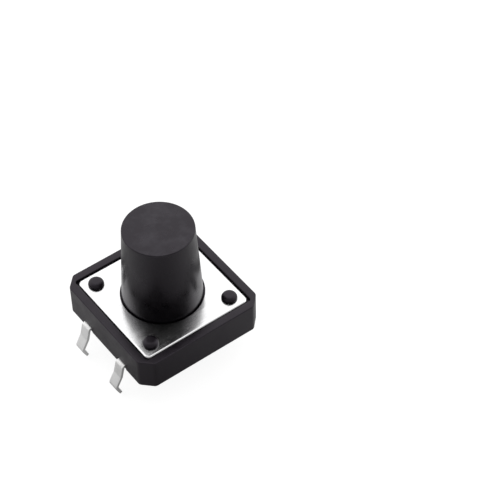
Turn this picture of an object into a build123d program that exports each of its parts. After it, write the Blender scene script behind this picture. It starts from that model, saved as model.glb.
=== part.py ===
from build123d import *

import os
from math import hypot, sqrt

# Momentary push button switch for a printed circuit board, 12 mm square, with a tall round button.
#
# Frame: millimetres, +Z up along the button, origin at the centre of the seating face, which is
# the face of the housing's foot that lies on the board. The solder legs come out of the -X and +X
# sides and reach below the origin.
#
# Pieces: a moulded housing, two stamped terminals moulded into its floor, a snap dome that lies on
# one terminal over the other, a button whose flange is held under a steel cover plate, and the
# plate, which four posts of the housing hold down with their heat-formed heads.

# ---- driving dimensions ----

# Housing
BODY_SIDE = 12.0
CORNER_CHAMFER = 1.0
CORNER_EDGE_RADIUS = 0.45
RIM_TOP = 3.30
RIM_WALL = 0.72
RIM_OUTER_RADIUS = 0.08
RIM_INNER_RADIUS = 0.05
WALL_FOOT_RADIUS = 0.08
RECESS_CORNER_RADIUS = 0.22
STANDOFF = 0.35
FOOT_INSET = 0.55
FOOT_CORNER_RADIUS = 0.80
CAVITY_FLOOR = 1.15

# Cover plate
PLATE_THICKNESS = 0.30
PLATE_BELOW_RIM = 0.05
PLATE_GROOVE = 0.10
PLATE_CORNER_RADIUS = 0.50
PLATE_EDGE_ROLL = 0.20
BORE_EDGE_RADIUS = 0.05
BORE_CLEARANCE = 0.10

# Posts that hold the plate
POST_INSET = 1.20
POST_RADIUS = 0.50
POST_HOLE_CLEARANCE = 0.05
POST_HEAD_RADIUS = 0.68
POST_HEAD_HEIGHT = 0.46
POST_HEAD_ROUND = 0.38

# Button
BUTTON_TOP = 11.0
BUTTON_TOP_RADIUS = 3.0
BUTTON_FOOT_RADIUS = 3.43
BUTTON_EDGE_RADIUS = 0.10
FLANGE_RADIUS = 4.10
FLANGE_THICKNESS = 0.62
FLANGE_GAP = 0.02
FLANGE_EDGE_RADIUS = 0.10
FLANGE_SIDE_CLEARANCE = 0.12
FLANGE_FLOOR_CLEARANCE = 0.16
EAR_WIDTH = 1.60
EAR_REACH = 0.45
PRESSER_RADIUS = 1.20
PRESSER_EDGE_RADIUS = 0.25
PRESSER_GAP = 0.01
TRAVEL = 0.30

# Snap dome
DOME_RADIUS = 3.40
DOME_THICKNESS = 0.08
DOME_SIDE_CLEARANCE = 0.15
DOME_RIM_FLAT = 0.30

# Terminals
METAL = 0.25
LEG_WIDTH = 1.0
LEG_PITCH = 5.0
LEG_STANDOFF = 0.17
STRIP_TOP = 0.90
PAD_PROUD = 0.05
CENTRE_PROUD = 0.10
ARM_INSET = 0.35
ARM_WIDTH = 0.80
ARM_END = 0.90
TONGUE_WIDTH = 1.80
RISE_RUN = 0.45
BEND_RADIUS = 0.22
KNEE_DROP = 0.40
KNEE_OUT = 0.27
KNEE_RADIUS = 0.60
KINK_DROP = 1.45
KINK_OUT = 0.83
KINK_RADIUS = 0.30
TIP_DROP = 2.40
TIP_OUT = 0.40
TIP_CHAMFER = 0.14

# Underside of the housing
LEG_SLOT_DEPTH = 0.20
LEG_SLOT_CLEARANCE = 0.10
LEG_SLOT_HEADROOM = 0.04
WINDOW_RADIUS = 0.45
WINDOW_OFFSET = 3.90
EJECTOR_RADIUS = 0.60
EJECTOR_DEPTH = 0.05
EJECTOR_INSET = 1.35
GATE_RADIUS = 0.90
GATE_DEPTH = 0.20
GATE_NUB_RADIUS = 0.35
GATE_NUB_HEIGHT = 0.12
GATE_OFFSET = 1.70

# ---- levels and sizes that follow from them ----

half_body = BODY_SIDE / 2
recess_half = half_body - RIM_WALL
plate_half = recess_half - PLATE_GROOVE
plate_top = RIM_TOP - PLATE_BELOW_RIM
ledge = plate_top - PLATE_THICKNESS
bore_radius = BUTTON_FOOT_RADIUS + BORE_CLEARANCE
post_hole_radius = POST_RADIUS + POST_HOLE_CLEARANCE
post_offset = plate_half - POST_INSET
post_places = [(x * post_offset, y * post_offset) for x in (-1, 1) for y in (-1, 1)]

foot_half = half_body - FOOT_INSET
slot_width = LEG_WIDTH + 2 * LEG_SLOT_CLEARANCE
leg_x = half_body + LEG_STANDOFF
leg_y = LEG_PITCH / 2
strip_middle = STRIP_TOP - METAL / 2
pad_top = CAVITY_FLOOR + PAD_PROUD
centre_top = CAVITY_FLOOR + CENTRE_PROUD
arm_x = DOME_RADIUS - ARM_INSET

dome_underside = centre_top + TRAVEL
dome_top = dome_underside + DOME_THICKNESS
flange_top = ledge - FLANGE_GAP
flange_bottom = flange_top - FLANGE_THICKNESS
pocket_step = flange_bottom - TRAVEL - FLANGE_FLOOR_CLEARANCE
presser_bottom = dome_top + PRESSER_GAP


def block(x, y, z, size_x, size_y, size_z):
    """A box centred on x and y that stands on level z."""
    return Pos(x, y, z) * Box(size_x, size_y, size_z, align=(Align.CENTER, Align.CENTER, Align.MIN))


def rod(x, y, z, radius, height):
    """An upright cylinder that stands on level z."""
    return Pos(x, y, z) * Cylinder(radius, height, align=(Align.CENTER, Align.CENTER, Align.MIN))


def turned(points):
    """A solid turned about Z from an (r, z) outline."""
    return revolve(make_face(Polyline(*[(r, 0, z) for r, z in points], close=True)), Axis.Z)


def offset_line(points, distance):
    """Points of a line that runs at a distance to the left of the given one, with mitred corners."""
    result = []
    for i, (x, z) in enumerate(points):
        normals = []
        for a, b in ((i - 1, i), (i, i + 1)):
            if a >= 0 and b < len(points):
                dx, dz = points[b][0] - points[a][0], points[b][1] - points[a][1]
                normals.append((-dz / hypot(dx, dz), dx / hypot(dx, dz)))
        nx, nz = sum(n[0] for n in normals), sum(n[1] for n in normals)
        reach = 2 * distance / (nx * nx + nz * nz) * len(normals) / 2
        result.append((x + nx * reach, z + nz * reach))
    return result


def turn_side(a, b, c):
    """+1 where the line a, b, c turns to the left, and -1 where it turns to the right."""
    cross = (b[0] - a[0]) * (c[1] - b[1]) - (b[1] - a[1]) * (c[0] - b[0])
    return 1 if cross > 0 else -1


def bent_strip(points, radii, thickness, width):
    """Sheet metal bent along an (x, z) centre line, with its width along Y, centred on y = 0."""
    sides = [turn_side(*points[i : i + 3]) for i in range(len(points) - 2)]
    borders = []
    for hand in (1, -1):
        line = offset_line(points, hand * thickness / 2)
        corner_radii = [r - hand * side * thickness / 2 for r, side in zip(radii, sides)]
        borders.append(([(x, 0, z) for x, z in line], corner_radii))
    (left, left_radii), (right, right_radii) = borders
    outline = (
        FilletPolyline(*left, radius=left_radii)
        + Line(left[-1], right[-1])
        + FilletPolyline(*right, radius=right_radii)
        + Line(left[0], right[0])
    )
    return extrude(make_face(outline), width / 2, dir=(0, 1, 0), both=True)


def leg():
    """One solder leg on the +X side: out of the wall, down, kinked outwards and back to its tip."""
    points = [
        (foot_half - METAL, strip_middle),
        (leg_x, strip_middle),
        (leg_x + KNEE_OUT, -KNEE_DROP),
        (leg_x + KINK_OUT, -KINK_DROP),
        (leg_x + TIP_OUT, -TIP_DROP),
    ]
    strip = bent_strip(points, [BEND_RADIUS, KNEE_RADIUS, KINK_RADIUS], METAL, LEG_WIDTH)
    lowest = strip.bounding_box().min.Z
    w = LEG_WIDTH / 2
    face_on = Polyline(
        (0, -w, STRIP_TOP),
        (0, w, STRIP_TOP),
        (0, w, lowest + TIP_CHAMFER),
        (0, w - TIP_CHAMFER, lowest),
        (0, -w + TIP_CHAMFER, lowest),
        (0, -w, lowest + TIP_CHAMFER),
        close=True,
    )
    return strip & extrude(make_face(face_on), BODY_SIDE, dir=(1, 0, 0))


def leg_pair():
    """A straight strip across the housing with a solder leg at each end, centred on y = 0."""
    strip = block(0, 0, STRIP_TOP - METAL, 2 * (foot_half - METAL), LEG_WIDTH, METAL)
    return strip + leg() + mirror(leg(), Plane.YZ)


def raised_arm(start, end, top, width):
    """A strip along Y that leaves strip level at start and rises to a contact level before end."""
    way = 1 if end > start else -1
    rise_start = start + way * LEG_WIDTH
    points = [
        (start, strip_middle),
        (rise_start, strip_middle),
        (rise_start + way * RISE_RUN, top - METAL / 2),
        (end, top - METAL / 2),
    ]
    return Rot(0, 0, 90) * bent_strip(points, [METAL, METAL], METAL, width)


def common_terminal():
    """Terminal at +Y: two legs, and two arms whose raised ends carry the rim of the dome."""
    body = Pos(0, leg_y, 0) * leg_pair()
    for side in (-1, 1):
        body += Pos(side * arm_x, 0, 0) * raised_arm(leg_y, -ARM_END, pad_top, ARM_WIDTH)
    return body


def centre_terminal():
    """Terminal at -Y: two legs, and a tongue whose raised round end is the contact at the centre."""
    tongue = raised_arm(-leg_y, TONGUE_WIDTH / 2, centre_top, TONGUE_WIDTH)
    trim = block(0, -leg_y, 0, TONGUE_WIDTH, LEG_PITCH, RIM_TOP)
    trim += rod(0, 0, 0, TONGUE_WIDTH / 2, RIM_TOP)
    return Pos(0, -leg_y, 0) * leg_pair() + (tongue & trim)


def square_outline(half, corner_radius):
    """A rounded square face centred on the origin."""
    return RectangleRounded(2 * half, 2 * half, corner_radius)


def housing_walls():
    """The outer block: a square with chamfered corners and softened edges."""
    outline = chamfer(Rectangle(BODY_SIDE, BODY_SIDE).vertices(), CORNER_CHAMFER)
    outline = fillet(outline.vertices(), CORNER_EDGE_RADIUS)
    walls = Pos(0, 0, STANDOFF) * extrude(outline, RIM_TOP - STANDOFF)
    walls = fillet(walls.edges().group_by(Axis.Z)[-1], RIM_OUTER_RADIUS)
    return fillet(walls.edges().group_by(Axis.Z)[0], WALL_FOOT_RADIUS)


def plate_recess():
    """The square recess in the top that takes the cover plate, with its mouth softened."""
    depth = RIM_TOP - ledge
    recess = Pos(0, 0, ledge) * extrude(square_outline(recess_half, RECESS_CORNER_RADIUS), depth)
    mouth = Pos(0, 0, RIM_TOP) * square_outline(
        recess_half + RIM_INNER_RADIUS, RECESS_CORNER_RADIUS + RIM_INNER_RADIUS
    )
    throat = Pos(0, 0, RIM_TOP - RIM_INNER_RADIUS) * square_outline(recess_half, RECESS_CORNER_RADIUS)
    return recess + loft([throat, mouth])


def button_space(clearance):
    """The room for the button's flange and its two guide ears, grown by a clearance."""
    reach = FLANGE_RADIUS + EAR_REACH + clearance
    room = rod(0, 0, 0, FLANGE_RADIUS + clearance, RIM_TOP)
    return room + block(0, 0, 0, EAR_WIDTH + 2 * clearance, 2 * reach, RIM_TOP)


def cavity():
    """The stepped pocket under the plate: the dome's seat below, and the flange's room above."""
    upper = button_space(FLANGE_SIDE_CLEARANCE) & block(
        0, 0, pocket_step, BODY_SIDE, BODY_SIDE, ledge - pocket_step
    )
    lower = rod(0, 0, CAVITY_FLOOR, DOME_RADIUS + DOME_SIDE_CLEARANCE, pocket_step - CAVITY_FLOOR)
    return upper + lower


def post():
    """A post of the housing, with the mushroom head that was formed over the plate."""
    head = rod(0, 0, plate_top, POST_HEAD_RADIUS, POST_HEAD_HEIGHT)
    head = fillet(head.edges().group_by(Axis.Z)[-1], POST_HEAD_ROUND)
    return rod(0, 0, ledge - STANDOFF, POST_RADIUS, plate_top - ledge + STANDOFF) + head


def underside_cuts():
    """Slots for the legs, core-pin windows under the terminals, ejector marks and the gate's recess."""
    slot_top = STRIP_TOP + LEG_SLOT_HEADROOM
    mark = foot_half - EJECTOR_INSET
    cuts = Pos(0, -GATE_OFFSET, 0) * (
        rod(0, 0, 0, GATE_RADIUS, GATE_DEPTH)
        - rod(0, 0, GATE_DEPTH - GATE_NUB_HEIGHT, GATE_NUB_RADIUS, GATE_NUB_HEIGHT)
    )
    for side_x in (-1, 1):
        for side_y in (-1, 1):
            cuts += block(
                side_x * (half_body - LEG_SLOT_DEPTH / 2),
                side_y * leg_y,
                0,
                LEG_SLOT_DEPTH,
                slot_width,
                slot_top,
            )
            cuts += rod(side_x * WINDOW_OFFSET, side_y * leg_y, 0, WINDOW_RADIUS, STRIP_TOP - METAL)
            cuts += rod(side_x * mark, side_y * mark, 0, EJECTOR_RADIUS, EJECTOR_DEPTH)
    return cuts


def housing(inserts):
    """The moulded housing, closed around the two terminals that were laid in its mould."""
    body = housing_walls() + extrude(square_outline(foot_half, FOOT_CORNER_RADIUS), STANDOFF)
    for side_y in (-1, 1):
        body += block(0, side_y * leg_y, 0, 2 * (half_body - LEG_SLOT_DEPTH), slot_width, STANDOFF)
    body = body - plate_recess() - cavity() - underside_cuts()
    for x, y in post_places:
        body += Pos(x, y, 0) * post()
    for insert in inserts:
        body -= insert
    return body


def cover_plate():
    """The stamped steel plate: a bore for the button, a hole for each post, rolled upper edges."""
    plate = Pos(0, 0, ledge) * extrude(square_outline(plate_half, PLATE_CORNER_RADIUS), PLATE_THICKNESS)
    plate = fillet(plate.edges().group_by(Axis.Z)[-1], PLATE_EDGE_ROLL)
    plate -= rod(0, 0, ledge, bore_radius, PLATE_THICKNESS)
    bore_mouth = plate.edges().group_by(Axis.Z)[-1].sort_by(Edge.length)[-1:]
    plate = fillet(bore_mouth, BORE_EDGE_RADIUS)
    for x, y in post_places:
        plate -= rod(x, y, ledge, post_hole_radius, PLATE_THICKNESS)
    return plate


def button():
    """The moulded button: a tapered stem, a flange with two guide ears, and a presser underneath."""
    stem = turned(
        [
            (0, flange_bottom),
            (BUTTON_FOOT_RADIUS, flange_bottom),
            (BUTTON_FOOT_RADIUS, plate_top),
            (BUTTON_TOP_RADIUS, BUTTON_TOP),
            (0, BUTTON_TOP),
        ]
    )
    stem = fillet(stem.edges().group_by(Axis.Z)[-1], BUTTON_EDGE_RADIUS)
    flange = button_space(0) & block(0, 0, flange_bottom, BODY_SIDE, BODY_SIDE, FLANGE_THICKNESS)
    flange = fillet(flange.edges().group_by(Axis.Z)[0], FLANGE_EDGE_RADIUS)
    presser_height = flange_bottom - presser_bottom
    presser = rod(0, 0, presser_bottom, PRESSER_RADIUS, presser_height)
    edge_radius = min(PRESSER_EDGE_RADIUS, presser_height / 2)
    presser = fillet(presser.edges().group_by(Axis.Z)[0], edge_radius)
    return stem + flange + presser


def cap_arc(radius, height, level):
    """Three points of an arc that is level at the axis and falls by height at the given radius."""
    curve = (radius**2 + height**2) / (2 * height)
    fall = curve - sqrt(curve**2 - radius**2 / 4)
    return [(0, 0, level + height), (radius / 2, 0, level + height - fall), (radius, 0, level)]


def snap_dome():
    """The thin sprung disc: a narrow flat rim that lies on the pads, and a shallow dome."""
    inner, rim_top = DOME_RADIUS - DOME_RIM_FLAT, pad_top + DOME_THICKNESS
    lower = cap_arc(inner, dome_underside - pad_top, pad_top)
    upper = cap_arc(inner, dome_underside - pad_top, rim_top)
    outline = Wire(
        [
            Line(lower[0], upper[0]),
            ThreePointArc(*upper),
            Line(upper[2], (DOME_RADIUS, 0, rim_top)),
            Line((DOME_RADIUS, 0, rim_top), (DOME_RADIUS, 0, pad_top)),
            Line((DOME_RADIUS, 0, pad_top), lower[2]),
            ThreePointArc(*reversed(lower)),
        ]
    )
    return revolve(Face(outline), Axis.Z)


def main():
    common, centre = common_terminal(), centre_terminal()
    pieces = {
        "housing": housing([common, centre]),
        "cover_plate": cover_plate(),
        "button": button(),
        "snap_dome": snap_dome(),
        "common_terminal": common,
        "centre_terminal": centre,
    }
    os.makedirs("parts", exist_ok=True)
    for name, piece in pieces.items():
        export_step(piece, f"parts/{name}.step")


main()
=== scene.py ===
import bmesh
import bpy
import numpy as np
from bpy.props import FloatProperty, FloatVectorProperty, PointerProperty
from mathutils import Matrix, Vector
from mathutils.geometry import tessellate_polygon


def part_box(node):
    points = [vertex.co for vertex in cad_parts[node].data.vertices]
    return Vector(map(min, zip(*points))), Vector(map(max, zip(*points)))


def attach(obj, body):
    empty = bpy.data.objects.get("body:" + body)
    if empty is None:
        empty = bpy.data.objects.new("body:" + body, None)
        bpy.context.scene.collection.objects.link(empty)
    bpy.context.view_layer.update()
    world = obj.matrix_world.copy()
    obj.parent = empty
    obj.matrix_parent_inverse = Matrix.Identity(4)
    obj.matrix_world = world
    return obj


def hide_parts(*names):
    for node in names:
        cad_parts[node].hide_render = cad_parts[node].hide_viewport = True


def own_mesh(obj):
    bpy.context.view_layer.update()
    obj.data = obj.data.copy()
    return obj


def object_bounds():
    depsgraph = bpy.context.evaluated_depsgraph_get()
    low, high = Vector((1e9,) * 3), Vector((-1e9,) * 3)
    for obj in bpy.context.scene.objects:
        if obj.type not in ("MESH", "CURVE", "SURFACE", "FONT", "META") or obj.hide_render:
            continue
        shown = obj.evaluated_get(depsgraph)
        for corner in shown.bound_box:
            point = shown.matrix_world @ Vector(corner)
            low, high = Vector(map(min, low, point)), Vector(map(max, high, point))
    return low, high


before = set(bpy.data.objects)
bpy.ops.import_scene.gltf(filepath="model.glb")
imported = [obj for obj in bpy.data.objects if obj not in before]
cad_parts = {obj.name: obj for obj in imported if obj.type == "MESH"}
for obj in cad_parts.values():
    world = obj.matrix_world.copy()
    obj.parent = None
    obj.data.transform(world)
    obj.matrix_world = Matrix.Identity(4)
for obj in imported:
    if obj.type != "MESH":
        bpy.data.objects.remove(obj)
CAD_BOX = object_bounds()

bl_info = {
    "name": "Momentary push button switch",
    "version": (1, 0, 0),
    "blender": (4, 5, 0),
    "location": "View3D > Sidebar > Switch",
    "description": "Builds a square push button switch for a circuit board, piece by piece",
    "category": "Add Mesh",
}

MM = 0.001
TAU = 2 * np.pi
BASE, PLUNGER, PRESS = "base", "plunger", "button_press"


def cad_box(name):
    """The low and the high corner of a CAD node's box, in millimetres."""
    return np.array(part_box(name)) / MM


HOUSING_HIGH = cad_box("housing")[1]
PLATE_LOW, PLATE_HIGH = cad_box("cover_plate")
BUTTON_LOW, BUTTON_HIGH = cad_box("button")
DOME_LOW, DOME_HIGH = cad_box("snap_dome")
COMMON_HIGH = cad_box("common_terminal")[1]
CENTRE_HIGH = cad_box("centre_terminal")[1]

# Points round a whole circle: of the posts and the mouldings' small marks, the bore, and the dome.
POST_POINTS, WINDOW_POINTS, MARK_POINTS, NUB_POINTS = 64, 40, 48, 32
BORE_POINTS, DOME_POINTS = 256, 192
# Points in an eighth of a turn at the corners of the square outlines, and rows in an edge's rounding.
CORNER_POINTS, EDGE_ROWS = 16, 9
# Short straight runs beside a rounding, in millimetres, which keep the shading of flat faces flat.
HOLD, SHORT_HOLD, FINE_HOLD = 0.05, 0.03, 0.01


# ---- sizes and colours that a user would change ----


def length(name, default_mm, description):
    """A length in the panel, whose default is given in millimetres."""
    return FloatProperty(
        name=name, description=description, default=default_mm * MM, min=0, unit="LENGTH", precision=5
    )


def colour(name, default, description):
    """A colour in the panel, as linear red, green and blue."""
    return FloatVectorProperty(
        name=name, description=description, default=default, subtype="COLOR", size=3, min=0, max=1
    )


def share(name, default, description):
    """A number from 0 to 1 in the panel."""
    return FloatProperty(name=name, description=description, default=default, min=0, max=1, subtype="FACTOR")


def light_level(name, default, description):
    """A strength of light in the panel, where 1 is white."""
    return FloatProperty(name=name, description=description, default=default, min=0)


def angle(name, default_degrees, description):
    """An angle in the panel, whose default is given in degrees."""
    return FloatProperty(
        name=name, description=description, default=np.radians(default_degrees), unit="ROTATION", precision=4
    )


class HousingSizes(bpy.types.PropertyGroup):
    """Sizes of the moulded housing"""

    rim_top: length("Rim top", 3.30, "Level of the rim above the seating face")
    rim_wall: length("Rim wall", 0.72, "Thickness of the rim around the cover plate")
    rim_round: length("Rim rounding", 0.08, "Radius of the rim's outer edge")
    mouth: length("Mouth rounding", 0.05, "Radius of the recess's upper edge")
    chamfer: length("Corner chamfer", 1.0, "Length cut off each side at a corner")
    corner_round: length("Corner rounding", 0.45, "Radius of the chamfers' upright edges")
    recess_round: length("Recess corner", 0.22, "Corner radius of the plate's recess")
    standoff: length("Stand-off", 0.35, "Height of the walls' lower edge above the seating face")
    foot_inset: length("Foot inset", 0.55, "Distance from the walls to the foot's edge")
    foot_round: length("Foot corner", 0.80, "Corner radius of the foot")
    wall_foot_round: length("Wall foot rounding", 0.08, "Radius of the walls' lower edge")
    slot_width: length("Leg slot width", 1.20, "Width of the slot that each leg comes out of")
    slot_depth: length("Leg slot depth", 0.20, "Depth of the slot, measured from the wall")
    slot_top: length("Leg slot top", 0.94, "Level of the slot's ceiling")
    floor: length("Cavity floor", 1.15, "Level of the floor under the dome")
    step: length("Cavity step", 1.85, "Level of the step around the dome's seat")
    seat: length("Dome seat radius", 3.55, "Radius of the pocket that holds the dome")
    room: length("Flange room radius", 4.22, "Radius of the room for the button's flange")
    room_ear: length("Ear room width", 1.84, "Width of the two grooves for the flange's ears")
    room_reach: length("Ear room reach", 4.67, "Distance from the middle to the end of an ear's groove")
    post: length("Post radius", 0.50, "Radius of a post where it passes through the plate")
    head: length("Post head radius", 0.68, "Radius of the head formed over the plate")
    head_edge: length("Post head lower edge", 0.03, "Size of the head's lower edge")
    head_round: length("Post head rounding", 0.38, "Radius of the head's upper edge")
    post_offset: length("Post offset", 3.98, "Distance of each post from the middle along X and Y")
    window: length("Window radius", 0.45, "Radius of the four round windows in the underside")
    window_depth: length("Window depth", 0.70, "Depth of the windows")
    window_offset: length("Window offset", 3.90, "Distance of the windows from the middle along X")
    mark: length("Ejector mark radius", 0.60, "Radius of the four ejector marks in the underside")
    mark_depth: length("Ejector mark depth", 0.05, "Depth of the ejector marks")
    mark_inset: length("Ejector mark inset", 1.35, "Distance of the ejector marks from the foot's edges")
    gate: length("Gate well radius", 0.90, "Radius of the well around the gate's nub")
    gate_depth: length("Gate well depth", 0.20, "Depth of the gate's well")
    gate_offset: length("Gate offset", 1.70, "Distance of the gate from the middle, towards -Y")
    nub: length("Gate nub radius", 0.35, "Radius of the nub that the gate leaves")
    nub_height: length("Gate nub height", 0.12, "Height of the nub above the well's bottom")


class PlateSizes(bpy.types.PropertyGroup):
    """Sizes of the cover plate"""

    corner: length("Plate corner", 0.50, "Corner radius of the plate")
    roll: length("Rolled edge", 0.20, "Radius of the plate's outer upper edge")
    bore_edge: length("Bore edge", 0.05, "Radius of the bore's upper edge")
    bore: length("Bore radius", 3.53, "Radius of the hole for the button")
    post_hole: length("Post hole radius", 0.55, "Radius of the holes for the posts")


class ButtonSizes(bpy.types.PropertyGroup):
    """Sizes of the button"""

    top_radius: length("Top radius", 3.0, "Radius at the top, before its edge is rounded")
    foot_radius: length("Foot radius", 3.43, "Radius where the button leaves the plate")
    edge: length("Top edge rounding", 0.10, "Radius of the edge around the top")
    flange: length("Flange radius", 4.10, "Radius of the flange under the plate")
    flange_bottom: length("Flange underside", 2.31, "Level of the flange's underside")
    flange_top: length("Flange top", 2.93, "Level of the flange's upper face")
    ear: length("Ear width", 1.60, "Width of the two ears that keep the button from turning")
    flange_edge: length("Flange rounding", 0.10, "Radius of the flange's lower edge")
    presser: length("Presser radius", 1.20, "Radius of the boss that sits on the dome")
    presser_edge: length("Presser rounding", 0.25, "Radius of the boss's lower edge")
    travel: length("Travel", 0.30, "How far the button goes down")


class TerminalSizes(bpy.types.PropertyGroup):
    """Sizes of the terminals and the dome"""

    metal: length("Metal", 0.25, "Thickness of the terminals' metal")
    width: length("Leg width", 1.0, "Width of a solder leg")
    pitch: length("Leg pitch", 5.0, "Distance between the two legs of a side")
    row: length("Row spacing", 12.34, "Distance between the two rows of legs at the bend")
    strip_top: length("Strip top", 0.90, "Level of the strip where it leaves the housing")
    bend: length("Bend", 0.22, "Radius at the middle of the metal where a leg turns down")
    knee_out: length("Knee reach", 0.27, "How far the leg leans out at its knee, from the bend")
    knee_drop: length("Knee drop", 0.40, "Depth of the knee below the seating face")
    knee: length("Knee radius", 0.60, "Radius at the knee")
    kink_out: length("Kink reach", 0.83, "How far the leg leans out at its kink, from the bend")
    kink_drop: length("Kink drop", 1.45, "Depth of the kink below the seating face")
    kink: length("Kink radius", 0.30, "Radius at the kink")
    tip_out: length("Tip reach", 0.40, "How far out the leg's tip is, from the bend")
    tip_drop: length("Tip drop", 2.40, "Depth of the tip below the seating face")
    tip_taper: length("Tip taper", 0.14, "Length cut off each corner of the tip")
    edge: length("Edge rounding", 0.035, "Radius of the stamped edges")
    arm_x: length("Arm offset", 3.05, "Distance of the common terminal's arms from the middle")
    arm_width: length("Arm width", 0.80, "Width of an arm")
    arm_end: length("Arm end", 0.90, "Distance of an arm's end past the middle, towards -Y")
    arm_run: length("Arm rise", 0.45, "Length over which an arm rises to its contact")
    tongue: length("Tongue width", 1.80, "Width of the centre terminal's tongue")
    dome: length("Dome thickness", 0.08, "Thickness of the snap dome")
    dome_rim: length("Dome rim", 0.30, "Width of the dome's flat rim")


class Finishes(bpy.types.PropertyGroup):
    """Colours and surface finishes"""

    plastic: colour("Housing plastic", (0.0044, 0.0030, 0.0050), "Colour of the housing")
    button: colour("Button plastic", (0.0010, 0.0005, 0.0013), "Colour of the button")
    plate: colour("Plate", (0.93, 0.93, 0.935), "Colour of the plated steel cover")
    plating: colour("Plating", (0.97, 0.965, 0.96), "Colour of the terminals' plating")
    dome: colour("Dome", (0.66, 0.64, 0.60), "Colour of the spring steel dome")
    housing_gloss: share("Housing roughness", 0.40, "Roughness of the housing's plastic")
    button_gloss: share("Button roughness", 0.31, "Roughness of the button's plastic")
    plate_gloss: share("Plate roughness", 0.21, "Roughness of the rolled plate")
    plating_gloss: share("Plating roughness", 0.47, "Roughness of the terminals' plating")
    dome_gloss: share("Dome roughness", 0.16, "Roughness of the dome")


class StageSettings(bpy.types.PropertyGroup):
    """Camera, floor and light"""

    camera: FloatVectorProperty(
        name="Camera",
        description="Place of the camera",
        default=(-51.29 * MM, -81.69 * MM, 116.37 * MM),
        size=3,
        subtype="XYZ",
        unit="LENGTH",
    )
    azimuth: angle("Azimuth", -36.489, "Turn of the view about Z")
    elevation: angle("Elevation", 48.345, "Height angle of the camera")
    roll: angle("Roll", 0.774, "Turn of the view about its own line")
    lens: FloatProperty(
        name="Lens", description="Focal length in millimetres, for a sensor 36 mm wide", default=128.14, min=1
    )
    floor: colour("Floor", (0.30, 0.30, 0.30), "Colour of the floor")
    paper: share("Paper glow", 0.88, "Light that the floor adds to what the camera sees of it")
    sweep: share("Sweep glow", 0.33, "Light that the floor adds to what gloss and metal see of it")
    # The middle and the radii of a painted shade on the floor: a round patch where the glow that gloss and
    # metal see fades out.
    painted_shade: FloatVectorProperty(
        name="Shade",
        description="Middle of the floor's patch that gloss and metal see without that light",
        default=(-4.5 * MM, -8.5 * MM),
        size=2,
        subtype="XYZ",
        unit="LENGTH",
    )
    painted_shade_core: length("Shade core", 1.0, "Radius inside which the patch has none of it")
    painted_shade_edge: length("Shade edge", 14.0, "Radius outside which the patch has all of it")
    bright: light_level("Bright side", 1.20, "Light from behind, from the left and from above")
    dim: light_level("Dim side", 0.40, "Light from the camera's side")
    twice_dim: light_level("Dim side mirrored", 0.003, "The same, in a reflection inside a reflection")


# ---- surfaces ----


class Surface:
    """A mesh put together from grids and flat faces, in millimetres, and welded when it's made."""

    def __init__(self):
        self.points, self.faces, self.smooth, self.count = [], [], [], 0

    def add(self, points, faces, smooth):
        self.points.append(points)
        self.faces.append(faces + self.count)
        self.smooth.append(np.full(len(faces), smooth))
        self.count += len(points)

    def grid(self, rings, smooth=True, around=True, keep=None):
        """Quads between neighbouring rows of an array of points (rows, points in a row, 3); with around,
        each row closes on itself. keep is a mask of the columns of quads that are wanted."""
        rings = np.asarray(rings, float)
        rows, columns = rings.shape[:2]
        number = np.arange(rows * columns).reshape(rows, columns)
        following = np.roll(number, -1, axis=1)
        quads = np.stack([number[:-1], following[:-1], following[1:], number[1:]], axis=-1)
        if not around:
            quads = quads[:, :-1]
        if keep is not None:
            quads = quads[:, keep]
        self.add(rings.reshape(-1, 3), quads.reshape(-1, 4), smooth)

    def flat(self, *loops):
        """The flat face inside the first loop and outside all the others, cut into triangles."""
        points = np.concatenate(loops)
        triangles = tessellate_polygon([[Vector(p) for p in loop] for loop in loops])
        self.add(points, np.array(triangles)[:, [0, 1, 2, 2]], False)

    def flat_across(self, loop):
        """A flat upright face along X and Z, cut into triangles."""
        loop = np.array(loop)
        triangles = tessellate_polygon([[Vector((x, z, 0)) for x, z in loop[:, [0, 2]]]])
        self.add(loop, np.array(triangles)[:, [0, 1, 2, 2]], False)

    def make(self, name):
        """The Blender object: equal points are welded, and faces are turned outwards."""
        points, faces = np.concatenate(self.points), np.concatenate(self.faces)
        smooth = np.concatenate(self.smooth)
        triangle = faces[:, 2] == faces[:, 3]
        polygons = [f[:3] if t else f for f, t in zip(faces.tolist(), triangle.tolist())]
        mesh = bpy.data.meshes.new(name)
        mesh.from_pydata(points.tolist(), [], polygons)
        mesh.polygons.foreach_set("use_smooth", smooth)
        work = bmesh.new()
        work.from_mesh(mesh)
        bmesh.ops.remove_doubles(work, verts=work.verts, dist=1e-4)
        bmesh.ops.dissolve_degenerate(work, edges=work.edges, dist=1e-5)
        bmesh.ops.recalc_face_normals(work, faces=work.faces)
        bmesh.ops.scale(work, vec=(MM, MM, MM), verts=work.verts)
        open_edges = sum(1 for edge in work.edges if not edge.is_manifold)
        work.to_mesh(mesh)
        work.free()
        mesh.set_sharp_from_angle(angle=np.radians(35))
        print(name, len(mesh.polygons), "faces,", open_edges, "open edges")
        obj = bpy.data.objects.new(name, mesh)
        bpy.context.scene.collection.objects.link(obj)
        return obj


def at(ring, z):
    """A flat ring of (x, y) points lifted to level z."""
    ring = np.asarray(ring, float)
    return np.column_stack([ring, np.full(len(ring), z)])


def circle(radius, centre=(0, 0), count=96):
    """Points at equal angles on a circle."""
    angle = np.arange(count) * TAU / count
    return np.column_stack([centre[0] + radius * np.cos(angle), centre[1] + radius * np.sin(angle)])


def mirrored_fourfold(x, y):
    """The four points at plus and minus x and plus and minus y."""
    return [(i * x, j * y) for i in (-1, 1) for j in (-1, 1)]


def rounding(radius, rows=EDGE_ROWS):
    """The steps of a rounded edge: over a quarter turn, pairs of the radius less its cosine share, which
    grows from nothing to the radius, and the radius less its sine share, which falls from it to nothing."""
    turn = np.linspace(0, np.pi / 2, rows)
    return np.column_stack([radius * (1 - np.cos(turn)), radius * (1 - np.sin(turn))])


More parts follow.
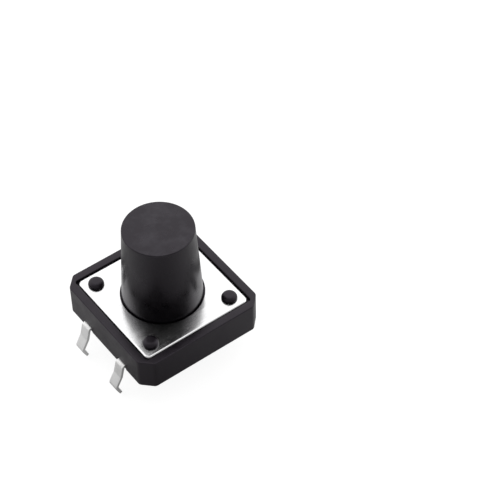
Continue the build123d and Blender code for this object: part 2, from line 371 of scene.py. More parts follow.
def quarter_turns(quarter):
    """Four copies of a run of points, each a quarter turn further on."""
    turn = np.array([[0, 1], [-1, 0]])
    return np.concatenate([quarter @ np.linalg.matrix_power(turn, k) for k in range(4)])


def arc(centre, radius, start, end, count):
    """Points on an arc, from angle start to angle end in degrees."""
    angle = np.radians(np.linspace(start, end, count))
    return np.column_stack([centre[0] + radius * np.cos(angle), centre[1] + radius * np.sin(angle)])


def side_points(half, stops):
    """Points on the side x = half, at the given places along Y."""
    return np.column_stack([np.full(len(stops), half), stops])


def rounded_square(half, radius, stops):
    """A square outline with round corners: each side passes its stops, and a quarter circle follows."""
    corner = arc((half - radius, half - radius), radius, 0, 90, 2 * CORNER_POINTS)
    return quarter_turns(np.concatenate([side_points(half, stops), corner]))


def chamfered_square(half, chamfer, radius, stops):
    """A square outline with cut corners, where an eighth of a circle rounds each end of the cut."""
    back = half - chamfer - radius * np.tan(np.pi / 8)
    first = arc((half - radius, back), radius, 0, 45, CORNER_POINTS)
    second = arc((back, half - radius), radius, 45, 90, CORNER_POINTS)
    return quarter_turns(np.concatenate([side_points(half, stops), first, second]))


def inset_square(half, chamfer, radius, stops, inset):
    """The cut-cornered outline moved inwards: its cuts move in as far as its sides do."""
    shorter = chamfer - inset * (2 - np.sqrt(2))
    return chamfered_square(half - inset, shorter, radius - inset, stops)


def eared_angles(radius, half_ear, reach, count=240):
    """Angles around a circle, with those of the two ears' corners among them."""
    foot, tip = np.arccos(half_ear / radius), np.arctan2(reach, half_ear)
    corners = np.array([foot, tip, np.pi - tip, np.pi - foot])
    even = np.arange(count) * TAU / count
    return np.unique(np.round(np.concatenate([even, corners, corners + np.pi]), 9))


def eared_circle(radius, half_ear, reach, angles):
    """A circle with an ear at +Y and one at -Y: at each angle the radius is the larger of the circle's
    and that of a bar across it, half_ear to each side and reach long."""
    ends = reach / np.maximum(abs(np.sin(angles)), 1e-9)
    sides = half_ear / np.maximum(abs(np.cos(angles)), 1e-9)
    r = np.maximum(radius, np.minimum(ends, sides))
    return np.column_stack([r * np.cos(angles), r * np.sin(angles)])


def bent_line(points, radii, step=10):
    """A line of straight runs joined by arcs of the given radii: points along it, in order. On an arc,
    each point is a share of the arc's start and end, seen from its centre, whose weights are the sines
    of the angles to the other one."""
    points = np.asarray(points, float)
    path = [points[:1]]
    for before, corner, after, radius in zip(points, points[1:], points[2:], radii):
        a = (before - corner) / np.linalg.norm(before - corner)
        b = (after - corner) / np.linalg.norm(after - corner)
        half_angle = np.arccos(np.clip(a @ b, -1, 1)) / 2
        middle = (a + b) / np.linalg.norm(a + b)
        centre = corner + middle * radius / np.sin(half_angle)
        start = corner + a * radius / np.tan(half_angle) - centre
        end = corner + b * radius / np.tan(half_angle) - centre
        sweep = np.arccos(np.clip(start @ end / radius**2, -1, 1))
        part = np.linspace(0, 1, step)[:, None]
        bow = np.sin((1 - part) * sweep) * start + np.sin(part * sweep) * end
        path.append(centre + bow / np.sin(sweep))
    path.append(points[-1:])
    return np.concatenate(path)


def strip_section(half_width, half_metal, edge):
    """The outline across a strip, as (width, thickness) points: a rectangle with rounded corners."""
    corner = arc((half_width - edge, half_metal - edge), edge, 0, 90, 5)
    return np.concatenate([corner, corner[::-1] * [-1, 1], -corner, corner[::-1] * [1, -1]])


def strip_rings(path, widths, metal, edge, place):
    """A metal strip: the section is carried along the path, square to it, and place turns the along-path
    plane and the width into x, y and z."""
    tangent = np.gradient(path, axis=0)
    tangent /= np.linalg.norm(tangent, axis=1)[:, None]
    across = np.column_stack([-tangent[:, 1], tangent[:, 0]])
    rings = [
        place(p + s[:, 1:] * n, s[:, 0])
        for p, n, s in zip(path, across, (strip_section(w / 2, metal / 2, edge) for w in widths))
    ]
    return np.array(rings)


def add_strip(surface, path, widths, metal, edge, place):
    """A closed strip: its skin, and a flat face at each end."""
    rings = strip_rings(path, widths, metal, edge, place)
    surface.grid(rings)
    for end in (rings[0], rings[-1]):
        surface.flat(end)


# ---- materials ----


def group(name, inputs, outputs):
    """A new shader node group with a Vector input, number inputs {name: default} and number outputs."""
    tree = bpy.data.node_groups.new(name, "ShaderNodeTree")
    tree.interface.new_socket("Vector", in_out="INPUT", socket_type="NodeSocketVector")
    for key, value in inputs.items():
        socket = tree.interface.new_socket(key, in_out="INPUT", socket_type="NodeSocketFloat")
        socket.default_value = value
    for key in outputs:
        tree.interface.new_socket(key, in_out="OUTPUT", socket_type="NodeSocketFloat")
    return tree


def feed(tree, socket, value):
    """Links an output to the socket, or sets the socket to a plain value."""
    if isinstance(value, bpy.types.NodeSocket):
        tree.links.new(value, socket)
    else:
        socket.default_value = value


def node(tree, kind, settings=None, ordered=(), **values):
    """A new node; settings are its properties, ordered feeds its first input sockets in their order, and
    values feeds input sockets by name, with _ for a space."""
    made = tree.nodes.new(kind)
    for key, value in (settings or {}).items():
        setattr(made, key, value)
    for socket, value in zip(made.inputs, ordered):
        feed(tree, socket, value)
    for key, value in values.items():
        feed(tree, made.inputs[key.replace("_", " ")], value)
    return made


def maths(tree, operation, a, b=0.0):
    """The result of a Math node."""
    return node(tree, "ShaderNodeMath", {"operation": operation}, (a, b)).outputs[0]


def blend(tree, first, first_share, second):
    """A mix of two values: the given share of the first, and the rest of the second."""
    rest = maths(tree, "MULTIPLY", second, 1 - first_share)
    return maths(tree, "ADD", maths(tree, "MULTIPLY", first, first_share), rest)


def noise(tree, vector, scale, detail=2.0, roughness=0.5):
    """The value of a noise texture."""
    return node(
        tree, "ShaderNodeTexNoise", None, Vector=vector, Scale=scale, Detail=detail, Roughness=roughness
    ).outputs[0]


def spread(tree, value, low, high, to_low=0.0, to_high=1.0):
    """A value mapped from one range to another, and held inside it."""
    return node(tree, "ShaderNodeMapRange", None, (value, low, high, to_low, to_high)).outputs[0]


def moulded_grain():
    """Moulded plastic: a fine eroded grain, the melt's broader cloudiness, specks of dust in patches, and
    the smeared film of a handled top, which lies above the film level."""
    tree = group(
        "Moulded grain",
        {"Grain": 14000.0, "Cloud": 900.0, "Dust": 0.3, "Film level": 1.0},
        ("Height", "Tone", "Gloss", "Dust", "Film"),
    )
    start, end = tree.nodes.new("NodeGroupInput"), tree.nodes.new("NodeGroupOutput")
    vector, grain = start.outputs["Vector"], start.outputs["Grain"]
    fine = noise(tree, vector, grain, 3.0, 0.6)
    cells = node(
        tree, "ShaderNodeTexVoronoi", {"feature": "SMOOTH_F1"}, Vector=vector, Scale=grain, Smoothness=0.7
    ).outputs["Distance"]
    cloud = noise(tree, vector, start.outputs["Cloud"], 4.0, 0.55)
    specks = spread(tree, noise(tree, vector, 5200.0, 1.0, 0.4), 0.70, 0.80)
    patches = spread(tree, noise(tree, vector, 600.0, 2.0, 0.5), 0.35, 0.7)
    dust = maths(tree, "MULTIPLY", specks, maths(tree, "MULTIPLY", patches, start.outputs["Dust"]))
    smear = spread(tree, noise(tree, vector, 700.0, 3.0, 0.6), 0.44, 0.70)
    height = node(tree, "ShaderNodeSeparateXYZ", None, Vector=vector).outputs["Z"]
    above = maths(tree, "GREATER_THAN", height, start.outputs["Film level"])
    feed(tree, end.inputs["Height"], blend(tree, fine, 0.6, cells))
    feed(tree, end.inputs["Tone"], cloud)
    feed(tree, end.inputs["Gloss"], spread(tree, blend(tree, cloud, 0.7, fine), 0.35, 0.65))
    feed(tree, end.inputs["Dust"], dust)
    feed(tree, end.inputs["Film"], maths(tree, "MULTIPLY", smear, above))
    return tree


def rolled_metal():
    """Rolled and plated sheet: fine lines along the rolling direction, broader bands, and a few thin
    scratches where a slanted noise, drawn out along its length, passes through its middle value."""
    tree = group(
        "Rolled metal",
        {"Lines": 9000.0, "Stretch": 0.04, "Scratches": 1.0},
        ("Height", "Tone", "Gloss"),
    )
    start, end = tree.nodes.new("NodeGroupInput"), tree.nodes.new("NodeGroupOutput")
    vector = start.outputs["Vector"]
    parts = node(tree, "ShaderNodeSeparateXYZ", None, Vector=vector).outputs
    along = maths(tree, "MULTIPLY", parts[0], start.outputs["Stretch"])
    drawn = node(tree, "ShaderNodeCombineXYZ", None, X=along, Y=parts[1], Z=parts[2]).outputs[0]
    lines = noise(tree, drawn, start.outputs["Lines"], 4.0, 0.65)
    bands = noise(tree, drawn, 1800.0, 2.0, 0.5)
    mottle = noise(tree, vector, 1500.0, 3.0, 0.6)
    turned = node(
        tree, "ShaderNodeMapping", None, Vector=vector, Rotation=(0.0, 0.0, 0.9), Scale=(60.0, 2400.0, 600.0)
    ).outputs[0]
    off_middle = maths(tree, "ABSOLUTE", maths(tree, "SUBTRACT", noise(tree, turned, 1.0, 1.0, 0.3), 0.5))
    scratch = spread(tree, off_middle, 0.0, 0.012, 1.0, 0.0)
    scratch = maths(tree, "MULTIPLY", scratch, spread(tree, mottle, 0.55, 0.7))
    scratch = maths(tree, "MULTIPLY", scratch, start.outputs["Scratches"])
    raised = blend(tree, lines, 0.7, bands)
    feed(tree, end.inputs["Height"], maths(tree, "SUBTRACT", raised, maths(tree, "MULTIPLY", scratch, 0.6)))
    feed(tree, end.inputs["Tone"], spread(tree, blend(tree, mottle, 0.5, bands), 0.3, 0.7))
    feed(tree, end.inputs["Gloss"], spread(tree, blend(tree, lines, 0.6, mottle), 0.3, 0.7))
    return tree


def new_material(name, tree, group_values, roughness, vary, depth, **constants):
    """A material with a Principled BSDF and the given group, which reads Object coordinates. The group's
    gloss moves the roughness by vary to each side, and its height lifts the surface, by depth in mm."""
    made = bpy.data.materials.new(name)
    made.use_nodes = True
    nodes = made.node_tree
    shader = nodes.nodes["Principled BSDF"]
    for key, value in constants.items():
        shader.inputs[key.replace("_", " ")].default_value = value
    place = nodes.nodes.new("ShaderNodeTexCoord").outputs["Object"]
    effect = node(nodes, "ShaderNodeGroup", {"node_tree": tree}, Vector=place)
    for key, value in group_values.items():
        effect.inputs[key].default_value = value
    gloss = spread(nodes, effect.outputs["Gloss"], 0.0, 1.0, roughness - vary, roughness + vary)
    feed(nodes, shader.inputs["Roughness"], gloss)
    height = effect.outputs["Height"]
    bump = node(nodes, "ShaderNodeBump", None, Strength=1.0, Distance=depth * MM, Height=height)
    feed(nodes, shader.inputs["Normal"], bump.outputs[0])
    return made, nodes, shader, effect.outputs


def mixed(nodes, factor, a, b):
    """A colour between a and b."""
    made = node(nodes, "ShaderNodeMix", {"data_type": "RGBA"}, (factor,))
    colour_a, colour_b = [socket for socket in made.inputs if socket.type == "RGBA"]
    feed(nodes, colour_a, a)
    feed(nodes, colour_b, b)
    return [socket for socket in made.outputs if socket.type == "RGBA"][0]


def plastic(name, tree, tone, roughness, grain, depth, film_level=1.0):
    """Black moulded plastic: the grain lifts the surface and varies the tone and gloss a little."""
    made, nodes, shader, effect = new_material(
        name,
        tree,
        {"Grain": grain, "Dust": 0.35, "Film level": film_level},
        roughness,
        0.06,
        depth,
        IOR=1.49,
        Specular_Tint=(0.96, 0.87, 1.0, 1.0),
    )
    tone = np.array(tone)
    base = mixed(nodes, effect["Tone"], (*tone * 0.4, 1), (*tone * 1.7, 1))
    base = mixed(nodes, effect["Dust"], base, (0.06, 0.057, 0.057, 1))
    base = mixed(nodes, effect["Film"], base, (0.021, 0.020, 0.023, 1))
    feed(nodes, shader.inputs["Base Color"], base)
    return made


def metal(name, tree, tone, roughness, lines, stretch, depth, scratches):
    """Bright metal: rolling lines lift the surface and vary its tone and gloss."""
    made, nodes, shader, effect = new_material(
        name,
        tree,
        {"Lines": lines, "Stretch": stretch, "Scratches": scratches},
        roughness,
        0.04,
        depth,
        Metallic=1.0,
    )
    tone = np.array(tone)
    base = mixed(nodes, effect["Tone"], (*tone * 0.95, 1), (*np.minimum(tone * 1.04, 1), 1))
    feed(nodes, shader.inputs["Base Color"], base)
    return made


def finish_of(name):
    """The material of that name, made with its group when it's first asked for."""
    if name in bpy.data.materials:
        return bpy.data.materials[name]
    f = bpy.context.scene.switch_finishes
    moulded = bpy.data.node_groups.get("Moulded grain") or moulded_grain()
    rolled = bpy.data.node_groups.get("Rolled metal") or rolled_metal()
    if name == "Housing plastic":
        return plastic(name, moulded, f.plastic, f.housing_gloss, grain=15000.0, depth=0.0022)
    if name == "Button plastic":
        level = (BUTTON_HIGH[2] - bpy.context.scene.switch_button.edge / MM) * MM
        return plastic(
            name, moulded, f.button, f.button_gloss, grain=19000.0, depth=0.0007, film_level=level
        )
    if name == "Plate steel":
        return metal(name, rolled, f.plate, f.plate_gloss, 9000.0, 0.05, depth=0.0006, scratches=0.4)
    if name == "Dome steel":
        return metal(name, rolled, f.dome, f.dome_gloss, 12000.0, 0.08, depth=0.0005, scratches=0.3)
    return metal(name, rolled, f.plating, f.plating_gloss, 7000.0, 0.25, depth=0.0012, scratches=0.8)


def place_piece(obj, material, slot, body, *nodes):
    """Gives a finished piece its material, and puts it in place of its CAD nodes. The slot is not used."""
    obj.data.materials.append(finish_of(material))
    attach(obj, body)
    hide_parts(*nodes)


# ---- operators ----


class SWITCH_OT_housing(bpy.types.Operator):
    """Build the moulded housing with its rim, recess, cavity, foot and four posts"""

    bl_idname = "switch.housing"
    bl_label = "Housing"

    def execute(self, context):
        s, t = context.scene.switch_housing, context.scene.switch_terminals
        surface, half = Surface(), HOUSING_HIGH[0]  # The walls' distance from the middle.
        pitch, slot = t.pitch / MM / 2, s.slot_width / MM / 2
        edges = np.array([pitch - slot, pitch + slot])
        # Points along each side: the slots' edges and middles, the side's own middle, and four between.
        stops = np.sort(np.concatenate([-edges, [-pitch, 0, pitch], edges, [-3.9, -0.9, 0.9, 3.9]]))
        self.build_skirt(surface, s, half, edges, stops)
        inner = self.build_rim(surface, s, half, stops)
        self.build_cavity(surface, s, inner)
        self.build_underside(surface, s, half, pitch, stops)
        place_piece(surface.make("Housing_moulding"), "Housing plastic", "housing_plastic", BASE, "housing")
        return {"FINISHED"}

    def wall(self, s, half, stops, inset, z):
        """A ring of the walls' outline at level z, moved in by inset."""
        return at(inset_square(half, s.chamfer / MM, s.corner_round / MM, stops, inset), z)

    def build_skirt(self, surface, s, half, edges, stops):
        """The foot, the walls' lower edge and the leg slots. Between the slots a step leads from the foot to
        the walls; in a slot the foot reaches out to the slot's back, which runs up to its ceiling."""
        standoff, ceiling, low = s.standoff / MM, s.slot_top / MM, s.wall_foot_round / MM
        foot_ring = rounded_square(half - s.foot_inset / MM, s.foot_round / MM, stops)
        pad_ring = rounded_square(half - s.slot_depth / MM, 2 * s.foot_round / MM, stops)
        skirt = [self.wall(s, half, stops, out, standoff + up) for up, out in rounding(low, 6)]
        skirt += [self.wall(s, half, stops, 0, z) for z in (standoff + low + SHORT_HOLD, ceiling)]
        foot_side = [at(foot_ring, 0), at(foot_ring, standoff)]
        pad_side = [at(pad_ring, 0), at(pad_ring, standoff), at(pad_ring, ceiling)]

        # Which columns of quads lie in a leg slot: between its two edges, on the sides +X and -X.
        column = np.arange(len(foot_ring))
        per_side = len(column) // 4
        along = np.append(stops, np.full(per_side - len(stops), np.inf))[column % per_side]
        right = (along >= edges[0] - 1e-6) & (along < edges[1] - 1e-6)
        left = (along >= -edges[1] - 1e-6) & (along < -edges[0] - 1e-6)
        in_slot = (right | left) & (column // per_side % 2 == 0)

        surface.grid(foot_side, keep=~in_slot)
        surface.grid([foot_side[1], pad_side[1], skirt[0]], smooth=False, keep=~in_slot)
        surface.grid(skirt, keep=~in_slot)
        surface.grid([foot_side[0], pad_side[0]], smooth=False, keep=in_slot)
        surface.grid(pad_side, smooth=False, keep=in_slot)
        surface.grid([pad_side[2], skirt[-1]], smooth=False, keep=in_slot)
        starts = np.flatnonzero(in_slot & ~np.roll(in_slot, 1))
        ends = np.flatnonzero(in_slot & ~np.roll(in_slot, -1)) + 1
        for cheek in (*starts, *ends):
            surface.flat_across([ring[cheek] for ring in (*foot_side, *pad_side[1::-1])])
            surface.flat_across([ring[cheek] for ring in (pad_side[1], *skirt, pad_side[2])])

    def build_rim(self, surface, s, half, stops):
        """The walls above the slots and the rim with its two rounded edges; gives the recess's outline."""
        rim, top, mouth = s.rim_top / MM, s.rim_round / MM, s.mouth / MM
        inner, corner = half - s.rim_wall / MM, s.recess_round / MM
        upper = [self.wall(s, half, stops, 0, z) for z in (s.slot_top / MM, rim - top - HOLD)]
        upper += [self.wall(s, half, stops, inset, rim - left) for inset, left in rounding(top)]
        mouth_rings = [
            at(rounded_square(inner + out, corner + out, stops), rim - down)
            for down, out in rounding(mouth, 5)
        ]
        recess = rounded_square(inner, corner, stops)
        surface.grid(upper)
        surface.grid([upper[-1], mouth_rings[0]], smooth=False)
        surface.grid(mouth_rings + [at(recess, PLATE_LOW[2])])
        return recess

    def build_cavity(self, surface, s, recess):
        """The ledge under the plate, the room for the flange, the dome's pocket, and the posts."""
        ledge, plate_top, head_top = PLATE_LOW[2], PLATE_HIGH[2], HOUSING_HIGH[2]
        room, ear, reach = s.room / MM, s.room_ear / MM / 2, s.room_reach / MM
        room_ring = eared_circle(room, ear, reach, eared_angles(room, ear, reach))
        offset, post = s.post_offset / MM, s.post / MM
        centres = mirrored_fourfold(offset, offset)
        posts = [at(circle(post, c, POST_POINTS), ledge) for c in centres]
        surface.flat(at(recess, ledge), at(room_ring, ledge), *posts)
        step, floor, seat = s.step / MM, s.floor / MM, circle(s.seat / MM, count=DOME_POINTS)
        surface.grid([at(room_ring, ledge), at(room_ring, step)])
        surface.flat(at(room_ring, step), at(seat, step))
        surface.grid([at(seat, step), at(seat, floor)])
        surface.flat(at(seat, floor))

        head, edge = s.head / MM, s.head_edge / MM
        profile = [(post, ledge), (post, plate_top), (head - edge, plate_top)]
        profile += [(head, plate_top + edge), (head, plate_top + 2 * edge)]
        profile += [(head - inset, head_top - left) for inset, left in rounding(s.head_round / MM, 10)]
        for c in centres:
            rings = [at(circle(r, c, POST_POINTS), z) for r, z in profile]
            surface.grid(rings)
            surface.flat(rings[-1])

    def build_underside(self, surface, s, half, pitch, stops):
        """The seating face, with its round windows and ejector marks, and the gate's well and nub."""
        foot = half - s.foot_inset / MM
        aside, inside, gate = s.window_offset / MM, foot - s.mark_inset / MM, (0, -s.gate_offset / MM)
        windows = [circle(s.window / MM, c, WINDOW_POINTS) for c in mirrored_fourfold(aside, pitch)]
        marks = [circle(s.mark / MM, c, MARK_POINTS) for c in mirrored_fourfold(inside, inside)]
        wells = [(ring, s.window_depth / MM) for ring in windows]
        wells += [(ring, s.mark_depth / MM) for ring in marks]
        gate_ring, gate_depth = circle(s.gate / MM, gate, POST_POINTS), s.gate_depth / MM
        foot_ring = rounded_square(foot, s.foot_round / MM, stops)
        surface.flat(at(foot_ring, 0), *[at(ring, 0) for ring, depth in wells], at(gate_ring, 0))
        for ring, depth in wells:
            surface.grid([at(ring, 0), at(ring, depth)])
            surface.flat(at(ring, depth))
        nub = circle(s.nub / MM, gate, NUB_POINTS)
        nub_end = gate_depth - s.nub_height / MM
        surface.grid([at(gate_ring, 0), at(gate_ring, gate_depth)])
        surface.flat(at(gate_ring, gate_depth), at(nub, gate_depth))
        surface.grid([at(nub, gate_depth), at(nub, nub_end)])
        surface.flat(at(nub, nub_end))


class SWITCH_OT_plate(bpy.types.Operator):
    """Build the stamped cover plate with its bore and four post holes"""

    bl_idname = "switch.plate"
    bl_label = "Cover plate"

    def execute(self, context):
        s, h = context.scene.switch_plate, context.scene.switch_housing
        half, low, high = PLATE_HIGH[0], PLATE_LOW[2], PLATE_HIGH[2]
        corner, roll, bore, lip = s.corner / MM, s.roll / MM, s.bore / MM, s.bore_edge / MM
        # Evenly spaced points along each side of the plate, clear of its round corners.
        offset, stops = h.post_offset / MM, np.linspace(-3.6, 3.6, 7)
        holes = [circle(s.post_hole / MM, c, POST_POINTS) for c in mirrored_fourfold(offset, offset)]
        outer = [at(rounded_square(half, corner, stops), z) for z in (low, high - roll - FINE_HOLD)]
        outer += [
            at(rounded_square(half - inset, corner - inset, stops), high - left)
            for inset, left in rounding(roll)
        ]
        inner = [at(circle(bore, count=BORE_POINTS), z) for z in (low, high - lip - FINE_HOLD)]
        inner += [at(circle(bore + out, count=BORE_POINTS), high - left) for out, left in rounding(lip)]
        surface = Surface()
        surface.grid(outer)
        surface.grid(inner)
        surface.flat(outer[-1], inner[-1], *[at(ring, high) for ring in holes])
        surface.flat(outer[0], inner[0], *[at(ring, low) for ring in holes])
        for ring in holes:
            surface.grid([at(ring, low), at(ring, high)])
        place_piece(surface.make("Cover_plate_stamping"), "Plate steel", "plate_steel", BASE, "cover_plate")
        return {"FINISHED"}


class SWITCH_OT_button(bpy.types.Operator):
    """Build the button: its tapered stem, its flange with two ears and its presser"""

    bl_idname = "switch.button"
    bl_label = "Button"

    def execute(self, context):
        s = context.scene.switch_button
        foot, top_radius, edge = s.foot_radius / MM, s.top_radius / MM, s.edge / MM
        flange, ear, reach = s.flange / MM, s.ear / MM / 2, BUTTON_HIGH[1]
        under, over, presser = s.flange_bottom / MM, s.flange_top / MM, s.presser / MM
        low, high, plate_top = BUTTON_LOW[2], BUTTON_HIGH[2], PLATE_HIGH[2]
        angles = eared_angles(flange, ear, reach, 288)

        def ring(r, z):
            return np.column_stack([r * np.cos(angles), r * np.sin(angles), np.full(len(angles), z)])

        def flange_ring(inset, z):
            return at(eared_circle(flange - inset, ear - inset, reach - inset, angles), z)

        surface = Surface()
        presser_rings = [ring(presser - inset, low + up) for up, inset in rounding(s.presser_edge / MM, 8)]
        surface.flat(presser_rings[0])
        surface.grid(presser_rings + [ring(presser, under)])
        flange_rings = [flange_ring(inset, under + up) for up, inset in rounding(s.flange_edge / MM, 8)]
        surface.flat(flange_rings[0], ring(presser, under))
        surface.grid(flange_rings + [flange_ring(0, over)])
        surface.flat(flange_ring(0, over), ring(foot, over))

        # The stem leans in evenly from the plate to the top, and an arc that starts square to its side
        # rounds its edge.
        lean = (foot - top_radius) / (high - plate_top)
        levels = np.linspace(plate_top, high - edge - HOLD, 14)
        stem = [ring(foot, over)] + [ring(foot - lean * (z - plate_top), z) for z in levels]
        tilt = np.arctan(lean)
        tangent_radius = top_radius + lean * edge * (1 - np.sin(tilt))
        centre = tangent_radius - edge * np.cos(tilt)
        turn = np.linspace(tilt, np.pi / 2, 12)
        stem += [ring(centre + edge * np.cos(a), high - edge + edge * np.sin(a)) for a in turn]
        surface.grid(stem)
        surface.flat(stem[-1])
        place_piece(surface.make("Button_moulding"), "Button plastic", "button_plastic", PLUNGER, "button")
        return {"FINISHED"}


class SWITCH_OT_dome(bpy.types.Operator):
    """Build the snap dome: a shallow cap with a flat rim"""

    bl_idname = "switch.dome"
    bl_label = "Snap dome"

    def execute(self, context):
        t = context.scene.switch_terminals
        radius, thick, rim = DOME_HIGH[0], t.dome / MM, t.dome_rim / MM
        edge, hub = 0.02, 0.05  # The cut edge's chamfer, and the small flat at the very middle.
        low, height = DOME_LOW[2], DOME_HIGH[2] - DOME_LOW[2] - thick
        inner = radius - rim
        # A cap of a sphere: its radius of curvature follows from the cap's radius and its height.
        curve = (inner**2 + height**2) / (2 * height)
        r = np.linspace(hub, inner, 24)
        rise = low + height - curve + np.sqrt(curve**2 - r**2)
        under = [*zip(r, rise), (radius - edge, low), (radius, low + edge)]
        over = [(radius, low + thick - edge), (radius - edge, low + thick), *zip(r[::-1], rise[::-1] + thick)]
        surface = Surface()
        rings = [at(circle(a, count=DOME_POINTS), b) for a, b in under + over]
        surface.grid(rings)
        surface.flat(rings[0])
        surface.flat(rings[-1])
        obj = surface.make("Snap_dome_disc")
        place_piece(obj, "Dome steel", "dome_steel", BASE, "snap_dome")
        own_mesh(obj)
        return {"FINISHED"}


class SWITCH_OT_terminals(bpy.types.Operator):
    """Build the two terminals, each a stamped strip with two solder legs and its contacts"""

    bl_idname = "switch.terminals"
    bl_label = "Terminals"

    def execute(self, context):
        t = context.scene.switch_terminals
        metal_, width, edge, tongue = t.metal / MM, t.width / MM, t.edge / MM, t.tongue / MM
        middle, pitch = t.strip_top / MM - metal_ / 2, t.pitch / MM / 2
        line, widths = self.legs(t, middle, width)

        def across(y):
            return lambda p, w: np.column_stack([p[:, 0], y + w, p[:, 1]])

        def beside(x):
            return lambda p, w: np.column_stack([x + w, p[:, 0], p[:, 1]])

        def arm(y, way, end_y, top):
            """From the strip at y, a run along way, a rise to the contact's level, and a run to its end."""
            rise, level = y + way * width, top - metal_ / 2
            run = [(y, middle), (rise, middle), (rise + way * t.arm_run / MM, level), (end_y, level)]
            return bent_line(run, [metal_, metal_], 8)

        common, centre = Surface(), Surface()
        add_strip(common, line, widths, metal_, edge, across(pitch))
        add_strip(centre, line, widths, metal_, edge, across(-pitch))
        for x in (-t.arm_x / MM, t.arm_x / MM):
            path = arm(pitch, -1, -t.arm_end / MM, COMMON_HIGH[2])
            add_strip(common, path, np.full(len(path), t.arm_width / MM), metal_, edge, beside(x))
        # The tongue ends in half a disc: its width follows the cosine as its length follows the sine.
        path = arm(-pitch, 1, 0.0, CENTRE_HIGH[2])
        swell = np.linspace(0, np.pi / 2, 12)[1:]
        disc = np.column_stack([np.sin(swell) * (tongue / 2 - 0.005), np.full(len(swell), path[-1, 1])])
        widths = np.concatenate([np.full(len(path), tongue), np.maximum(tongue * np.cos(swell), 4 * edge)])
        add_strip(centre, np.concatenate([path, disc]), widths, metal_, edge, beside(0))
        for made, name, cad in ((common, "Common", "common_terminal"), (centre, "Centre", "centre_terminal")):
            place_piece(made.make(name + "_terminal_stamping"), "Leg plating", "terminal_metal", BASE, cad)
        return {"FINISHED"}

    def legs(self, t, middle, width):
        """The middle line of a strip with its two legs, from tip to tip, and its width at each point."""
        x, taper = t.row / MM / 2, t.tip_taper / MM
        side = np.array(
            [
                (x, middle),
                (x + t.knee_out / MM, -t.knee_drop / MM),
                (x + t.kink_out / MM, -t.kink_drop / MM),
                (x + t.tip_out / MM, -t.tip_drop / MM),
            ]
        )
        radii = [radius / MM for radius in (t.kink, t.knee, t.bend, t.bend, t.knee, t.kink)]
        line = bent_line(np.concatenate([side[::-1] * [-1, 1], side]), radii, 12)
        start, end = line[0], line[-1]
        back = (line[1] - start) / np.linalg.norm(line[1] - start)
        fore = (line[-2] - end) / np.linalg.norm(line[-2] - end)
        line = np.concatenate([[start, start + back * taper], line[1:-1], [end + fore * taper, end]])
        widths = np.full(len(line), width)
        widths[[0, -1]] = width - 2 * taper
        return line, widths


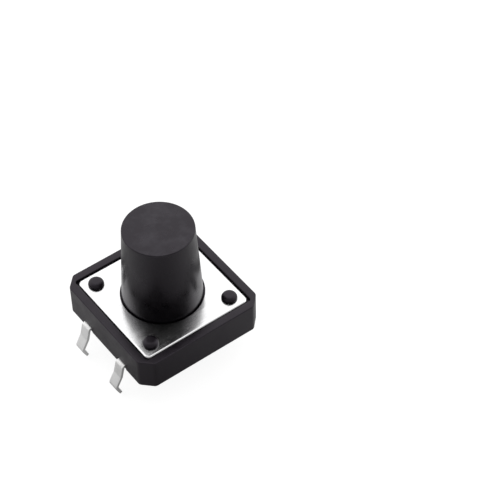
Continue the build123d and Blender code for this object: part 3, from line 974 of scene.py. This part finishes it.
class SWITCH_OT_stage(bpy.types.Operator):
    """Build the floor, the soft light and the camera"""

    bl_idname = "switch.stage"
    bl_label = "Stage"

    def execute(self, context):
        s, scene = context.scene.switch_stage, context.scene
        self.build_floor(scene, s)
        self.build_room(scene, s)
        self.build_camera(scene, s)
        scene.view_settings.view_transform = "Standard"
        return {"FINISHED"}

    def build_floor(self, scene, s):
        """A large square at the leg tips' level. To the eye it's white paper. Gloss and metal see a dimmer
        sweep of it, whose glow fades out in a round patch on the camera's side: a painted shade."""
        level, size = CAD_BOX[0][2], 2.0
        corners = [(x * size, y * size, level) for x, y in ((-1, -1), (1, -1), (1, 1), (-1, 1))]
        mesh = bpy.data.meshes.new("Floor")
        mesh.from_pydata(corners, [], [(0, 1, 2, 3)])
        floor = bpy.data.objects.new("Floor", mesh)
        scene.collection.objects.link(floor)
        made = bpy.data.materials.new("Floor paper")
        made.use_nodes = True
        nodes = made.node_tree
        nodes.nodes.clear()
        output = nodes.nodes.new("ShaderNodeOutputMaterial")
        rays = nodes.nodes.new("ShaderNodeLightPath").outputs
        seen = maths(nodes, "MULTIPLY", rays["Is Camera Ray"], s.paper)
        mirrored = maths(nodes, "MAXIMUM", rays["Is Glossy Ray"], rays["Is Transmission Ray"])
        # Painted shade: the glow that gloss and metal see of the floor fades to nothing in a round patch on
        # the camera's side, where nothing in the scene casts a shadow.
        place = nodes.nodes.new("ShaderNodeTexCoord").outputs["Object"]
        away = node(nodes, "ShaderNodeVectorMath", {"operation": "DISTANCE"}, (place, (*s.painted_shade, level)))
        sweep = spread(nodes, away.outputs["Value"], s.painted_shade_core, s.painted_shade_edge, 0.0, s.sweep)
        seen = maths(nodes, "ADD", seen, maths(nodes, "MULTIPLY", mirrored, sweep))
        paper = node(nodes, "ShaderNodeBsdfDiffuse", None, Color=(*s.floor, 1)).outputs[0]
        glow = node(nodes, "ShaderNodeEmission", None, Strength=seen).outputs[0]
        both = node(nodes, "ShaderNodeAddShader", None, (paper, glow)).outputs[0]
        nodes.links.new(both, output.inputs["Surface"])
        mesh.materials.append(made)

    def build_room(self, scene, s):
        """A white room that is bright behind, to the left and above, and dimmer on the camera's side, which
        is nearly dark in a reflection inside a reflection."""
        world = bpy.data.worlds.new("Studio")
        world.use_nodes = True
        scene.world = world
        nodes = world.node_tree
        nodes.nodes.clear()
        output = nodes.nodes.new("ShaderNodeOutputWorld")
        rays = nodes.nodes.new("ShaderNodeLightPath").outputs
        direction = nodes.nodes.new("ShaderNodeTexCoord").outputs["Generated"]
        front = Vector((np.sin(s.azimuth), -np.cos(s.azimuth), 0.25)).normalized()
        facing = node(nodes, "ShaderNodeVectorMath", {"operation": "DOT_PRODUCT"}, (direction, front))
        twice = maths(nodes, "GREATER_THAN", rays["Glossy Depth"], 1.5)
        dim = maths(nodes, "SUBTRACT", s.dim, maths(nodes, "MULTIPLY", twice, s.dim - s.twice_dim))
        level = spread(nodes, facing.outputs["Value"], 0.02, 0.46, s.bright, dim)
        level = maths(nodes, "MAXIMUM", level, rays["Is Camera Ray"])
        light = node(nodes, "ShaderNodeBackground", None, Color=(1, 1, 1, 1), Strength=level)
        nodes.links.new(light.outputs[0], output.inputs["Surface"])

    def build_camera(self, scene, s):
        """The camera, turned by azimuth, raised by elevation and rolled about its line of sight."""
        level = np.cos(s.elevation)
        back = Vector((np.sin(s.azimuth) * level, -np.cos(s.azimuth) * level, np.sin(s.elevation)))
        right = Vector((np.cos(s.azimuth), np.sin(s.azimuth), 0))
        up = back.cross(right)
        c, n = np.cos(s.roll), np.sin(s.roll)
        right, up = c * right - n * up, n * right + c * up
        camera = bpy.data.objects.new("Camera", bpy.data.cameras.new("Camera"))
        camera.data.lens, camera.data.sensor_width = s.lens, 36
        camera.data.clip_start, camera.data.clip_end = 0.005, 10
        turn = Matrix((right, up, back)).transposed().to_4x4()
        camera.matrix_world = Matrix.Translation(Vector(s.camera)) @ turn
        scene.collection.objects.link(camera)
        scene.camera = camera


class SWITCH_PT_panel(bpy.types.Panel):
    """The pieces of the switch, in the 3D view's sidebar"""

    bl_label = "Push button switch"
    bl_idname = "SWITCH_PT_panel"
    bl_space_type = "VIEW_3D"
    bl_region_type = "UI"
    bl_category = "Switch"

    def draw(self, context):
        for operator in OPERATORS:
            self.layout.operator(operator.bl_idname)
        for name in SETTINGS:
            box = self.layout.box()
            for key in getattr(context.scene, name).bl_rna.properties.keys():
                if key not in ("rna_type", "name"):
                    box.prop(getattr(context.scene, name), key)


OPERATORS = (
    SWITCH_OT_housing,
    SWITCH_OT_plate,
    SWITCH_OT_button,
    SWITCH_OT_dome,
    SWITCH_OT_terminals,
    SWITCH_OT_stage,
)
SETTINGS = {
    "switch_housing": HousingSizes,
    "switch_plate": PlateSizes,
    "switch_button": ButtonSizes,
    "switch_terminals": TerminalSizes,
    "switch_finishes": Finishes,
    "switch_stage": StageSettings,
}


def register():
    for kind in (*SETTINGS.values(), *OPERATORS, SWITCH_PT_panel):
        bpy.utils.register_class(kind)
    for name, kind in SETTINGS.items():
        setattr(bpy.types.Scene, name, PointerProperty(type=kind))


def unregister():
    for name in SETTINGS:
        delattr(bpy.types.Scene, name)
    for kind in (SWITCH_PT_panel, *reversed(OPERATORS), *reversed(SETTINGS.values())):
        bpy.utils.unregister_class(kind)


def main():
    register()
    for operator in OPERATORS:
        family, name = operator.bl_idname.split(".")
        getattr(getattr(bpy.ops, family), name)()


if __name__ == "__main__":
    main()
